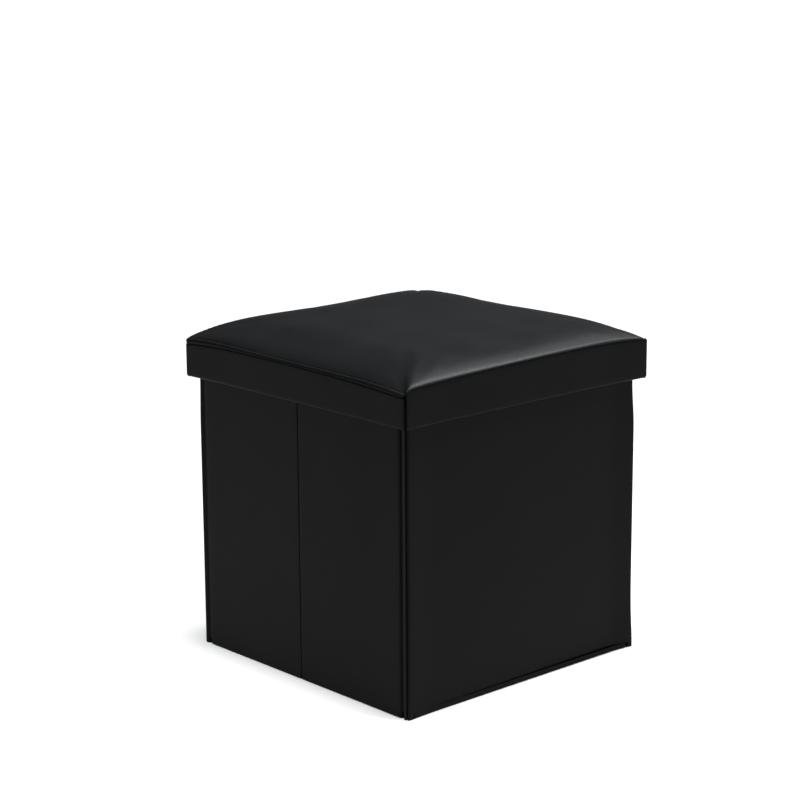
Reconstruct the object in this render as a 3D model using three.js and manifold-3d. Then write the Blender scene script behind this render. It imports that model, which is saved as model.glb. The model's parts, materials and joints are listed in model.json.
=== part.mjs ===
// Folding storage ottoman: a padded lift-off lid over a square box of covered
// boards. The front and back walls are whole; each side wall is two panels that
// fold inwards at a centre crease, and a hinged bottom board lies on the floor.
//
// Units are millimetres. The origin is at the centre of the footprint on the
// floor, +Z is up, the front wall faces -Y and the back wall faces +Y.

import * as THREE from "three";
import { mergeVertices } from "three/addons/utils/BufferGeometryUtils.js";
import Module from "manifold-3d";

const wasm = await Module();
wasm.setup();

// ---- Driving dimensions ----------------------------------------------------

const BODY = 360; // outer width and depth of the folding box
const LID = 380; // outer width and depth of the lid
const GAP = 0.3; // clearance left between pieces that touch
const PROUD = 1; // how far a cutting solid reaches past the face it opens
const MERGE = 1e-4; // corners nearer than this are one corner
const ARC_STEPS = 4; // straight steps in a rounded edge

const COVER = 1.2; // faux leather with its backing
const LINING = 0.8; // non-woven lining fabric

const WALL = 8; // thickness of a covered wall panel
const WALL_TOP = 356.7; // top edge of every wall
const PANEL_FOOT = 6.5; // lower edge of the firm part of a moving wall
const HEM_FOOT = 0.4; // lower edge of a soft hem
const EDGE_RADIUS = 2.5; // rounding of a wall's face where it meets its seam
const SEAM_NOTCH = 4; // how far the sewn corner seam draws a wall's face in
const STRIP_DEPTH = 3; // how deep a corner strip lies below the outer face
const CREASE_DEPTH = 0.8; // how deep a crease strip lies below the outer face
const CORNER_GAP = 2.5; // from a side panel's end to the wall it meets
const CREASE_GAP = 2; // between the two panels of a side wall
const FOOT_LENGTH = 9.5; // firm hem end under each front corner

const SKIRT_FOOT = 329.5; // lower edge of the lid's skirt
const SEAM = 372; // height of the seam between skirt and top cover
const CROWN = 26.4; // rise of the top cover above that seam
const CROWN_FLATNESS = 6.86; // how far the flat of the crown reaches out
const CROWN_SHOULDER = 1.62; // how roundly the crown turns down at the seam
const CROWN_STEPS = 18; // grid cells across the crown
const COVER_RIM = 1; // height of the top cover's straight edge at the seam
const SKIRT_BOARD = 5.5; // thickness of a skirt board
const LID_BOARD = 9; // thickness of the board under the foam
const LID_BOARD_FOOT = 358.1;
const LID_BOARD_RADIUS = 5; // rounded corners of that board
const SKIRT_SEAM = 2.7; // from a corner to the end of the longer skirt boards

const FLAP_WIDTH = 339; // hinged bottom board in its sleeve
const FLAP_THICKNESS = 5;
const FLAP_FRONT = -165;
const FLAP_PIVOT = 170; // y of the flap's fabric hinge
const SLEEVE = 0.8; // sleeve fabric around the bottom board

const TAB_WIDTH = 25; // ribbon that lifts the flap
const TAB_LENGTH = 30;
const TAB_THICKNESS = 0.8;
const TAB_OVERHANG = 5; // how far the ribbon reaches past the flap

// ---- Materials -------------------------------------------------------------

function material(color, roughness) {
  return new THREE.MeshStandardMaterial({ color, roughness, metalness: 0 });
}

const fauxLeather = material(0x1c1b1e, 0.45);
const liningCloth = material(0x161618, 0.95);
const fibreboard = material(0x9a7650, 0.85);
const paddingFoam = material(0xd8d0b6, 1);
const ribbon = material(0x121214, 0.8);

// ---- Solids ----------------------------------------------------------------

// A closed geometry as a manifold solid.
function toSolid(geometry) {
  const bare = geometry.clone();
  bare.deleteAttribute("normal");
  bare.deleteAttribute("uv");
  const merged = mergeVertices(bare, MERGE);
  return new wasm.Manifold(
    new wasm.Mesh({
      numProp: 3,
      vertProperties: merged.getAttribute("position").array,
      triVerts: new Uint32Array(merged.index.array),
    }),
  );
}

function toGeometry(solid) {
  const mesh = solid.getMesh();
  const geometry = new THREE.BufferGeometry();
  geometry.setAttribute(
    "position",
    new THREE.BufferAttribute(new Float32Array(mesh.vertProperties), 3),
  );
  geometry.setIndex(new THREE.BufferAttribute(new Uint32Array(mesh.triVerts), 1));
  geometry.computeVertexNormals();
  return geometry;
}

function cut(geometry, tool) {
  return toGeometry(toSolid(geometry).subtract(toSolid(tool)));
}

function join(first, second) {
  return toGeometry(toSolid(first).add(toSolid(second)));
}

// A box between two opposite corners.
function block(low, high) {
  const size = high.map((value, i) => value - low[i]);
  const middle = high.map((value, i) => (value + low[i]) / 2);
  return new THREE.BoxGeometry(...size).translate(...middle);
}

// A plan outline extruded from one height to another.
function prism(shape, foot, top) {
  const options = {
    depth: top - foot,
    bevelEnabled: false,
    curveSegments: ARC_STEPS,
  };
  return new THREE.ExtrudeGeometry(shape, options).translate(0, 0, foot);
}

// ---- Assembly --------------------------------------------------------------

const ottoman = new THREE.Group();

function addBody(place = [0, 0, 0], turn = 0) {
  const body = new THREE.Group();
  body.position.set(...place);
  body.rotation.z = turn;
  ottoman.add(body);
  return body;
}

function addPiece(body, name, geometry, look) {
  const mesh = new THREE.Mesh(geometry, look);
  mesh.name = name;
  body.add(mesh);
  return mesh;
}

// ---- Wall panels -----------------------------------------------------------
// A panel stands in its own frame: its outer face is the plane y = 0, it reaches
// inwards to y = -WALL, and left and right are its ends along x.

// Plan of a panel. Where an end is sewn, the seam draws the face in to a notch
// and leaves a bead of folded faux leather behind it.
function panelPlan(left, right, sewn) {
  const turn = Math.PI / 2;
  const shape = new THREE.Shape();
  shape.moveTo(left, -WALL);
  shape.lineTo(right, -WALL);
  if (sewn.right) {
    const face = right - SEAM_NOTCH;
    shape.lineTo(right, -SEAM_NOTCH);
    shape.lineTo(face, -SEAM_NOTCH);
    shape.absarc(face - EDGE_RADIUS, -EDGE_RADIUS, EDGE_RADIUS, 0, turn);
  } else {
    shape.lineTo(right, 0);
  }
  if (sewn.left) {
    const face = left + SEAM_NOTCH;
    shape.absarc(face + EDGE_RADIUS, -EDGE_RADIUS, EDGE_RADIUS, turn, 2 * turn);
    shape.lineTo(face, -SEAM_NOTCH);
    shape.lineTo(left, -SEAM_NOTCH);
  } else {
    shape.lineTo(left, 0);
  }
  shape.closePath();
  return shape;
}

// The board, the faux leather tray wrapped round its face and edges, and the
// lining let into the tray on the inside.
function addPanel(body, name, left, right, foot, sewn) {
  const boardLeft = left + COVER + GAP + (sewn.left ? SEAM_NOTCH : 0);
  const boardRight = right - COVER - GAP - (sewn.right ? SEAM_NOTCH : 0);
  const boardFoot = foot + COVER + GAP;
  const boardTop = WALL_TOP - COVER - GAP;
  const pocket = block(
    [boardLeft - GAP, -WALL - PROUD, boardFoot - GAP],
    [boardRight + GAP, -COVER, boardTop + GAP],
  );
  const board = block(
    [boardLeft, -WALL + LINING + GAP, boardFoot],
    [boardRight, -COVER - GAP, boardTop],
  );
  const lining = block(
    [boardLeft, -WALL, boardFoot],
    [boardRight, -WALL + LINING, boardTop],
  );
  const cover = cut(prism(panelPlan(left, right, sewn), foot, WALL_TOP), pocket);
  addPiece(body, `${name}_cover`, cover, fauxLeather);
  addPiece(body, `${name}_board`, board, fibreboard);
  addPiece(body, `${name}_lining`, lining, liningCloth);
}

// The soft lower edge that closes a moving wall down to the floor.
function addHem(body, name, left, right) {
  const hem = block([left, -WALL, HEM_FOOT], [right, 0, PANEL_FOOT - GAP]);
  addPiece(body, name, hem, fauxLeather);
}

// A vertical strip of cover fabric that hinges two panels together.
function addStrip(body, name, left, right, depth) {
  const strip = block([left, -depth - COVER, PANEL_FOOT], [right, -depth, WALL_TOP]);
  addPiece(body, name, strip, fauxLeather);
}

const halfBody = BODY / 2;
const bothSewn = { left: true, right: true };
const noneSewn = { left: false, right: false };

// Back wall: the fixed one, standing on the floor along its whole lower edge.
const backWall = addBody([0, halfBody, 0]);
addPanel(backWall, "back_wall", -halfBody, halfBody, 0, bothSewn);

// Front wall: soft hem between two firm ends, which carry it on the floor.
const frontWall = addBody([0, -halfBody, 0], Math.PI);
addPanel(frontWall, "front_wall", -halfBody, halfBody, PANEL_FOOT, bothSewn);
const hemEnd = halfBody - FOOT_LENGTH - GAP;
addHem(frontWall, "front_wall_hem", -hemEnd, hemEnd);
const leftSewn = { left: true, right: false };
const rightSewn = { left: false, right: true };
const leftFootPlan = panelPlan(halfBody - FOOT_LENGTH, halfBody, rightSewn);
const rightFootPlan = panelPlan(-halfBody, FOOT_LENGTH - halfBody, leftSewn);
const footTop = PANEL_FOOT - GAP;
addPiece(frontWall, "front_left_foot", prism(leftFootPlan, 0, footTop), fauxLeather);
addPiece(frontWall, "front_right_foot", prism(rightFootPlan, 0, footTop), fauxLeather);

// Side walls: two panels each, meeting at the centre crease. In a side's frame
// the end of a panel at the corner is "far" and its end at the crease is "near".
const panelNear = CREASE_GAP / 2;
const panelFar = halfBody - WALL - CORNER_GAP;
const stripNear = panelFar + GAP;
const stripFar = halfBody - WALL - GAP;

for (const side of ["left", "right"]) {
  const outward = side === "left" ? -1 : 1;
  const sideWall = addBody([outward * halfBody, 0, 0], (-outward * Math.PI) / 2);
  for (const end of ["rear", "front"]) {
    // Along a side wall's own x, the left wall's rear and the right wall's
    // front lie on the positive side.
    const positive = (end === "rear") === (side === "left");
    const span = (a, b) => (positive ? [a, b] : [-b, -a]);
    const name = `${side}_${end}_wall`;
    addPanel(sideWall, name, ...span(panelNear, panelFar), PANEL_FOOT, noneSewn);
    addHem(sideWall, `${name}_hem`, ...span(panelNear, panelFar));
    const stripSpan = span(stripNear, stripFar);
    addStrip(sideWall, `${end}_${side}_corner_strip`, ...stripSpan, STRIP_DEPTH);
  }
  const creaseHalf = CREASE_GAP / 2 - GAP;
  addStrip(sideWall, `${side}_crease_strip`, -creaseHalf, creaseHalf, CREASE_DEPTH);
}

// ---- Bottom flap -----------------------------------------------------------
// Placed on its hinge line, so the flap reaches forwards along -y from there.

const flap = addBody([0, FLAP_PIVOT, 0]);
const flapHalf = FLAP_WIDTH / 2;
const flapFront = FLAP_FRONT - FLAP_PIVOT;
const sleeveInset = SLEEVE + GAP;

const sleevePocket = block(
  [SLEEVE - flapHalf, flapFront + SLEEVE, SLEEVE],
  [flapHalf - SLEEVE, PROUD, FLAP_THICKNESS - SLEEVE],
);
const sleeveBlock = block([-flapHalf, flapFront, 0], [flapHalf, 0, FLAP_THICKNESS]);
addPiece(flap, "bottom_sleeve", cut(sleeveBlock, sleevePocket), liningCloth);

const bottomBoard = block(
  [sleeveInset - flapHalf, flapFront + sleeveInset, sleeveInset],
  [flapHalf - sleeveInset, -GAP, FLAP_THICKNESS - sleeveInset],
);
addPiece(flap, "bottom_board", bottomBoard, fibreboard);

// Fabric hinge between the flap's top face and the back wall.
const hingeStrip = block(
  [-flapHalf, GAP, FLAP_THICKNESS - SLEEVE],
  [flapHalf, halfBody - WALL - FLAP_PIVOT - GAP, FLAP_THICKNESS],
);
addPiece(flap, "flap_hinge_strip", hingeStrip, liningCloth);

const tabFoot = FLAP_THICKNESS + GAP;
const pullTab = block(
  [-TAB_WIDTH / 2, flapFront - TAB_OVERHANG, tabFoot],
  [TAB_WIDTH / 2, flapFront - TAB_OVERHANG + TAB_LENGTH, tabFoot + TAB_THICKNESS],
);
addPiece(flap, "pull_tab", pullTab, ribbon);

// ---- Lid -------------------------------------------------------------------

const lid = addBody();
const halfLid = LID / 2;
const skirtInner = halfLid - COVER - GAP; // outer face of the skirt boards
const boardInner = skirtInner - SKIRT_BOARD;
const liningOuter = boardInner - GAP;
const liningInner = liningOuter - LINING;
const boardFoot = SKIRT_FOOT + COVER + GAP;
const boardTop = LID_BOARD_FOOT - GAP;

// Plan of one side's strip with mitred ends, on the front side of the lid.
function mitredPlan(outer, inner) {
  const shape = new THREE.Shape();
  const mitreGap = GAP / 2;
  shape.moveTo(mitreGap - outer, -outer);
  shape.lineTo(outer - mitreGap, -outer);
  shape.lineTo(inner - mitreGap, -inner);
  shape.lineTo(mitreGap - inner, -inner);
  shape.closePath();
  return shape;
}

// Skirt cover of one side: the outer face and the lip turned in under the board.
function skirtCover() {
  const face = prism(mitredPlan(halfLid, halfLid - COVER), SKIRT_FOOT, SEAM - GAP);
  const lip = prism(mitredPlan(halfLid, liningInner), SKIRT_FOOT, SKIRT_FOOT + COVER);
  return join(face, lip);
}

// The front and rear skirt boards run full length, the side ones fit between.
function skirtBoard(halfLength) {
  return block([-halfLength, -skirtInner, boardFoot], [halfLength, -boardInner, boardTop]);
}

const quarterTurns = { front: 0, right: 1, rear: 2, left: 3 };
for (const [side, turns] of Object.entries(quarterTurns)) {
  const halfLength = turns % 2 ? liningOuter : skirtInner - SKIRT_SEAM;
  const skirt = new THREE.Group();
  skirt.rotation.z = (turns * Math.PI) / 2;
  lid.add(skirt);
  addPiece(skirt, `lid_${side}_skirt_cover`, skirtCover(), fauxLeather);
  addPiece(skirt, `lid_${side}_skirt_board`, skirtBoard(halfLength), fibreboard);
}

// A square with rounded corners.
function roundedSquare(half, radius) {
  const shape = new THREE.Shape();
  for (let corner = 0; corner < 4; corner += 1) {
    const start = (corner * Math.PI) / 2;
    const x = (half - radius) * (corner === 0 || corner === 3 ? 1 : -1);
    const y = (half - radius) * (corner < 2 ? 1 : -1);
    shape.absarc(x, y, radius, start, start + Math.PI / 2);
  }
  shape.closePath();
  return shape;
}

const lidBoardPlan = roundedSquare(skirtInner, LID_BOARD_RADIUS);
const lidBoardTop = LID_BOARD_FOOT + LID_BOARD;
addPiece(lid, "lid_board", prism(lidBoardPlan, LID_BOARD_FOOT, lidBoardTop), fibreboard);

const liningTray = cut(
  block([-liningOuter, -liningOuter, boardFoot], [liningOuter, liningOuter, boardTop]),
  block(
    [-liningInner, -liningInner, boardFoot - PROUD],
    [liningInner, liningInner, boardTop - LINING],
  ),
);
addPiece(lid, "lid_lining", liningTray, liningCloth);

// Height of the crown's cross-section, from 1 at the middle to 0 at the edge.
function crownShape(u) {
  return Math.pow(1 - Math.pow(Math.abs(u), CROWN_FLATNESS), 1 / CROWN_SHOULDER);
}

// A pillow: a crowned top on a square prism that reaches depth below its seam.
// The grid is finest near the edges, where the crown turns down.
function pillow(half, rise, depth) {
  const points = [];
  const faces = [];
  const row = CROWN_STEPS + 1;
  for (let i = 0; i < row; i += 1) {
    for (let j = 0; j < row; j += 1) {
      const u = Math.sin((Math.PI / 2) * ((2 * i) / CROWN_STEPS - 1));
      const v = Math.sin((Math.PI / 2) * ((2 * j) / CROWN_STEPS - 1));
      points.push(half * u, half * v, rise * crownShape(u) * crownShape(v));
    }
  }
  for (let i = 0; i < CROWN_STEPS; i += 1) {
    for (let j = 0; j < CROWN_STEPS; j += 1) {
      const a = i * row + j;
      faces.push(a, a + row, a + row + 1, a, a + row + 1, a + 1);
    }
  }
  // The rim of the grid, anticlockwise from above.
  const rim = [];
  for (let k = 0; k < CROWN_STEPS; k += 1) rim.push(k * row);
  for (let k = 0; k < CROWN_STEPS; k += 1) rim.push(CROWN_STEPS * row + k);
  for (let k = CROWN_STEPS; k > 0; k -= 1) rim.push(k * row + CROWN_STEPS);
  for (let k = CROWN_STEPS; k > 0; k -= 1) rim.push(k);
  const firstFoot = points.length / 3;
  for (const k of rim) points.push(points[3 * k], points[3 * k + 1], -depth);
  const centre = points.length / 3;
  points.push(0, 0, -depth);
  rim.forEach((upper, k) => {
    const next = (k + 1) % rim.length;
    const lower = firstFoot + k;
    const lowerNext = firstFoot + next;
    faces.push(upper, lower, lowerNext, upper, lowerNext, rim[next]);
    faces.push(centre, lowerNext, lower);
  });
  const geometry = new THREE.BufferGeometry();
  geometry.setAttribute("position", new THREE.Float32BufferAttribute(points, 3));
  geometry.setIndex(faces);
  geometry.computeVertexNormals();
  return geometry;
}

// The top cover is a thin crowned shell, closed below only by the foam.
const crownFoot = SEAM + COVER_RIM;
const topCover = cut(
  pillow(halfLid, CROWN - COVER_RIM, COVER_RIM),
  pillow(halfLid - COVER, CROWN - COVER_RIM - COVER, COVER_RIM + PROUD),
);
addPiece(lid, "lid_top_cover", topCover, fauxLeather).position.z = crownFoot;

const foamFoot = lidBoardTop + GAP;
const foam = pillow(
  halfLid - COVER - GAP,
  CROWN - COVER_RIM - COVER - GAP,
  crownFoot - foamFoot,
);
addPiece(lid, "lid_foam", foam, paddingFoam).position.z = crownFoot;

export default ottoman;
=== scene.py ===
"""Folding storage ottoman in black faux leather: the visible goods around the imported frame.

Shapes are worked out in millimetres, in the frame's own axes, and turned into metres where a mesh
is made: -Y is the front wall, -X the left side, +Z is up and the floor is z = 0.
"""

import json
import math

import bmesh
import bpy
import numpy as np
from mathutils import Matrix, Vector, noise

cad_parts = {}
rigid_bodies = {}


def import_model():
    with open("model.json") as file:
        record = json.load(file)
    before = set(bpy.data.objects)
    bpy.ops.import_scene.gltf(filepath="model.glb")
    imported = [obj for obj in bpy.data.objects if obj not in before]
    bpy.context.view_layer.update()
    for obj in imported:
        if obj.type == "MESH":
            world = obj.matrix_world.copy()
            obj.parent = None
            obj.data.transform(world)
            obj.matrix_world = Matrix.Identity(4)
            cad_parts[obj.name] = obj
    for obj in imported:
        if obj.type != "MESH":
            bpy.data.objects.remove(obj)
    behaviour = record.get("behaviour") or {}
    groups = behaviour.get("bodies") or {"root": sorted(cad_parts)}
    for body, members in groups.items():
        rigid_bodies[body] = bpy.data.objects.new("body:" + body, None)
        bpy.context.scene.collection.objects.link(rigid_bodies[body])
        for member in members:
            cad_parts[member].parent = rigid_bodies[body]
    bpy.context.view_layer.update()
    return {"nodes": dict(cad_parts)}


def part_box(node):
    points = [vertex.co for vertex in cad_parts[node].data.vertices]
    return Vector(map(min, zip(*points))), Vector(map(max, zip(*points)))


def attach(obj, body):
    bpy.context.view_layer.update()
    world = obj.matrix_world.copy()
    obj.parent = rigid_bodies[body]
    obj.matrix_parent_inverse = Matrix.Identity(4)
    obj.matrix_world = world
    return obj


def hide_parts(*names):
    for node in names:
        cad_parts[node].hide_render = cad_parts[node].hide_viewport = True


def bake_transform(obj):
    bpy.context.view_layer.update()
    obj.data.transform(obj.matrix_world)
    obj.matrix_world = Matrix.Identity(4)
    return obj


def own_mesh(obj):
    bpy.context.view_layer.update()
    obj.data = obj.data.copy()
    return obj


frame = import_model()

MM = 0.001


def node_box(node):
    """A CAD node's lowest and highest corners, in millimetres."""
    low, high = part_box(node)
    return np.array(low) / MM, np.array(high) / MM


# ---- Sizes taken from the frame ---------------------------------------------

back_low, back_high = node_box("back_wall_cover")
tray_low, tray_high = node_box("lid_lining")
board_low, board_high = node_box("lid_board")
sleeve_low, sleeve_high = node_box("bottom_sleeve")
tab_low, tab_high = node_box("pull_tab")
crown_high = node_box("lid_top_cover")[1]
flap_strip_high = node_box("flap_hinge_strip")[1]

BODY_HALF = back_high[0]
WALL_INNER = back_low[1]
WALL = BODY_HALF - WALL_INNER
WALL_TOP = back_high[2]
PANEL_FOOT = node_box("front_wall_cover")[0][2]
HEM_FOOT = node_box("front_wall_hem")[0][2]
SIDE_END = node_box("left_rear_wall_cover")[1][1]
LID_HALF = crown_high[0]
SKIRT_FOOT = node_box("lid_front_skirt_cover")[0][2]
CROWN_TOP = crown_high[2]
FOAM_FOOT = node_box("lid_foam")[0][2]
GROOVE_BOTTOM = node_box("rear_right_corner_strip")[1][0]
CREASE_DEPTH = node_box("right_crease_strip")[1][0]
FOOT_INNER = node_box("front_right_foot")[0][0]

# ---- Sizes of the sewn goods, in millimetres --------------------------------

COVER = 1.0
LINING = 0.6
FACE_ROUND = 2.5
CORNER_FLARE = 1.2
WALL_FLARE = {(-1, -1): 1.4, (-1, 1): 1.8, (1, -1): 3.0, (1, 1): 1.8}
FOOT_FLARE = {(-1, -1): 0.0, (-1, 1): 0.0, (1, -1): 1.6, (1, 1): 0.6}
FOOT_ROUND = 0.8
SIDE_FLARE = 0.25
SIDE_HOLLOW = 0.12
CREASE_HALF = 0.6
CREASE_ROUND = 0.8
TOP_ROUND = 2.4
BORDER = 16.0
FOOT_BORDER = 9.0
SEAM_GAP = 0.05
FACE_STEP = 11.0
THREAD = 0.34
STITCH = 3.1
STITCH_STEP = 4.3
HEM_TOP = PANEL_FOOT - SEAM_GAP
FLAP_TOP = sleeve_high[2]
SLEEVE_INSET = 7.0

RIM_ROUND = 3.0
GROOVE_ROUND = 1.3
GROOVE_GAP = 1.0
SEAM_ROUND = 1.2
CORNER_LIFT = 1.8
SKIRT_FLARE = {(-1, -1): 1.0, (-1, 1): 1.8, (1, -1): 2.6, (1, 1): 1.8}
FLARE_REACH = 45.0
LIP_DEPTH = LID_HALF + tray_low[0] + 0.2
BOARD_DEPTHS = (1.5, 7.0)
BOARD_ENDS = {"front": 7.6, "back": 7.6, "left": 10.6, "right": 10.6}

CROWN_HALF = LID_HALF - 1.2
GUSSET_DEPTH = 7.6
GUSSET_RADIUS = 2.6
CROWN_CORNER = 4.0
CROWN_BASE = 374.4
CROWN_RISE = CROWN_TOP - CROWN_BASE
CROWN_FLATNESS = 6.86
CROWN_SHOULDER = 1.62
CROWN_EDGE = 30.0
BULGE = 2.3
BULGE_HEIGHT = 3.2
BULGE_REACH = 5.0
PUFF_REACH = 1.4
BOARD_HALF = CROWN_HALF - 2.2
BOARD_CORNER = 18.0
FOAM_COVER = 3.4
FAR_CORNER_FILL = 2.0
SEWN_ROW = 3                            # the row of the crown's grid that its topstitching follows

# The lid's top seam along each side: its height at the side's start, its top and the place of that
# top, its height at the side's end, and how sharply it falls to the start and to the end.
SEAMS = {
    "front": (371.7, 378.5, 70, 374.8, 1.8, 3.0),
    "left": (363.6, 371.5, 70, 367.8, 2.4, 3.0),
    "right": (371.5, 375.0, 30, 370.5, 3.0, 2.6),
    "back": (369.5, 375.4, 40, 371.0, 2.6, 2.8),
}

# ---- Meshes -----------------------------------------------------------------


def turn_to(mesh, outward):
    """Flips a mesh whose faces look, on the whole, away from a direction."""
    look = sum(((f.normal * f.area) for f in mesh.polygons), Vector())
    if look.dot(Vector(outward)) < 0:
        mesh.flip_normals()


def add_mesh(name, points, faces, outward=None):
    """A mesh object from points in millimetres; outward is a rough direction the faces look to."""
    mesh = bpy.data.meshes.new(name)
    mesh.from_pydata((np.asarray(points, float) * MM).tolist(), [], faces)
    mesh.validate()
    mesh.update()
    if outward is not None:
        turn_to(mesh, outward)
    obj = bpy.data.objects.new(name, mesh)
    bpy.context.scene.collection.objects.link(obj)
    return obj


def face_outward(obj, merge=1e-6):
    """Welds points closer than merge and turns the faces of a mesh outward."""
    bm = bmesh.new()
    bm.from_mesh(obj.data)
    if merge:
        bmesh.ops.remove_doubles(bm, verts=bm.verts, dist=merge)
        bmesh.ops.dissolve_degenerate(bm, dist=merge, edges=bm.edges)
    bmesh.ops.recalc_face_normals(bm, faces=bm.faces)
    bm.to_mesh(obj.data)
    bm.free()


def apply_modifiers(obj):
    """Replaces the object's mesh with what its modifiers make of it."""
    depsgraph = bpy.context.evaluated_depsgraph_get()
    mesh = bpy.data.meshes.new_from_object(obj.evaluated_get(depsgraph))
    obj.modifiers.clear()
    obj.data = mesh


def thicken(obj, thickness):
    """Gives a sheet its thickness, behind the side it looks to."""
    modifier = obj.modifiers.new("Thickness", "SOLIDIFY")
    modifier.thickness = thickness * MM
    modifier.offset = -1
    modifier.use_quality_normals = True
    apply_modifiers(obj)


def smooth(obj, angle=38):
    """Smooth shading, with edges sharper than the angle left crisp."""
    obj.data.shade_smooth()
    obj.data.set_sharp_from_angle(angle=math.radians(angle))


def finish_piece(obj, material, body, slot, *replaced, angle=38):
    """Shading, finish, body and CAD nodes of a piece."""
    smooth(obj, angle)
    obj.data.materials.clear()
    obj.data.materials.append(material)
    if body:
        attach(obj, body)
    if replaced:
        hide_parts(*replaced)
    return obj


def grid_faces(rows, columns, closed=False):
    """Quads of a grid of points given row by row; closed joins the last column to the first."""
    faces = []
    for i in range(rows - 1):
        for j in range(columns if closed else columns - 1):
            k = (j + 1) % columns
            faces.append((i * columns + j, i * columns + k, (i + 1) * columns + k, (i + 1) * columns + j))
    return faces


def square_loop(count, ring):
    """The points of a square grid that lie so many rows inside its border, in order."""
    last = count - 1 - ring
    return ([ring * count + j for j in range(ring, last)] + [i * count + last for i in range(ring, last)]
            + [last * count + j for j in range(last, ring, -1)]
            + [i * count + ring for i in range(last, ring, -1)])


def box_path(corners, parts, closed=True):
    """Points along the straight lines between corners, so many to each line."""
    ends = corners[1:] + corners[:1] if closed else corners[1:]
    return [tuple(a + (b - a) * i / parts for a, b in zip(here, there))
            for here, there in zip(corners, ends) for i in range(parts)]


def rounded_square(half, radius, steps):
    """The outline of a square with rounded corners."""
    return [(cx * (half - radius) + radius * math.cos(a), cy * (half - radius) + radius * math.sin(a))
            for cx, cy, first in ((1, -1, -90), (1, 1, 0), (-1, 1, 90), (-1, -1, 180))
            for a in arc(first, first + 90, steps)]


def spread(start, end, step):
    """Evenly spaced values from start to end, about a step apart."""
    count = max(1, round(abs(end - start) / step))
    return [start + (end - start) * i / count for i in range(count + 1)]


def arc(first, last, steps):
    """Angles in radians from first to last, given in degrees."""
    return [math.radians(first + (last - first) * i / steps) for i in range(steps + 1)]


def ripple(x, y, z, size, seed):
    """Smooth noise in -1..1 with features of that size."""
    return noise.noise(Vector((x / size + seed * 7.3, y / size - seed * 3.1, z / size + seed)))


# ---- Wall frames: along the wall, and outward from its inner face -----------

WALLS = {
    "back": (np.array((1.0, 0.0)), np.array((0.0, 1.0))),
    "front": (np.array((1.0, 0.0)), np.array((0.0, -1.0))),
    "left": (np.array((0.0, 1.0)), np.array((-1.0, 0.0))),
    "right": (np.array((0.0, 1.0)), np.array((1.0, 0.0))),
}


def on_wall(wall, s, n, z):
    """The point s along a wall, n outward from its inner face, at height z."""
    along, outward = WALLS[wall]
    x, y = along * s + outward * (WALL_INNER + n)
    return (x, y, z)


def on_lid(side, s, depth, z):
    """The point s along one side of the lid, so deep inside its outer face, at height z."""
    along, outward = WALLS[side]
    x, y = along * s + outward * (LID_HALF - depth)
    return (x, y, z)


# ---- Walls ------------------------------------------------------------------


def bead_end():
    """A wall's end where it is sewn at a corner: a ridge, a slit running in from the corner and the
    rounded end of the face, as (distance from the end, outward), from the inside."""
    points = [(2.5 - 1.5 * math.cos(a), 1.6 + 1.6 * math.sin(a)) for a in arc(-90, 0, 5)]
    points += [(1.0, 2.6)]
    points += [(2.3 - 1.3 * math.cos(a), 3.4 + 1.4 * math.sin(a)) for a in arc(0, 90, 7)]
    points += [(2.7, 4.65), (3.3, 4.2), (3.8, 3.9), (4.15, 4.0), (4.2, 4.3), (3.8, 4.9), (3.2, 5.5)]
    points += [(4.9 - 2.3 * math.cos(a), 6.2 + 1.8 * math.sin(a)) for a in arc(0, 90, 8)]
    return points


def plain_end(inner, outer):
    """A wall's end rounded by inner and outer radii."""
    points = [(inner - inner * math.cos(a), inner + inner * math.sin(a)) for a in arc(-90, 0, 5)]
    rest = WALL - outer
    points += [(outer - outer * math.cos(a), rest + outer * math.sin(a)) for a in arc(0, 90, 8)]
    return points


def panel_levels(foot, top, foot_round, top_round, stops):
    """(height, share of the thickness) from the foot to the top, with rounded edges and set stops."""
    half = WALL / 2
    levels = []
    if foot_round:
        for a in arc(-90, 0, 6)[:-1]:
            share = 1 - foot_round * (1 - math.cos(a)) / half
            levels.append((foot + foot_round * (1 + math.sin(a)), share))
    marks = sorted([foot + foot_round, *stops, top - top_round])
    for low, high in zip(marks, marks[1:]):
        levels += [(z, 1.0) for z in spread(low, high, FACE_STEP)[:-1]]
    levels.append((top - top_round, 1.0))
    if top_round:
        for a in arc(0, 90, 6)[1:]:
            share = 1 - top_round * (1 - math.cos(a)) / half
            levels.append((top - top_round * (1 - math.sin(a)), share))
    return levels


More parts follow.
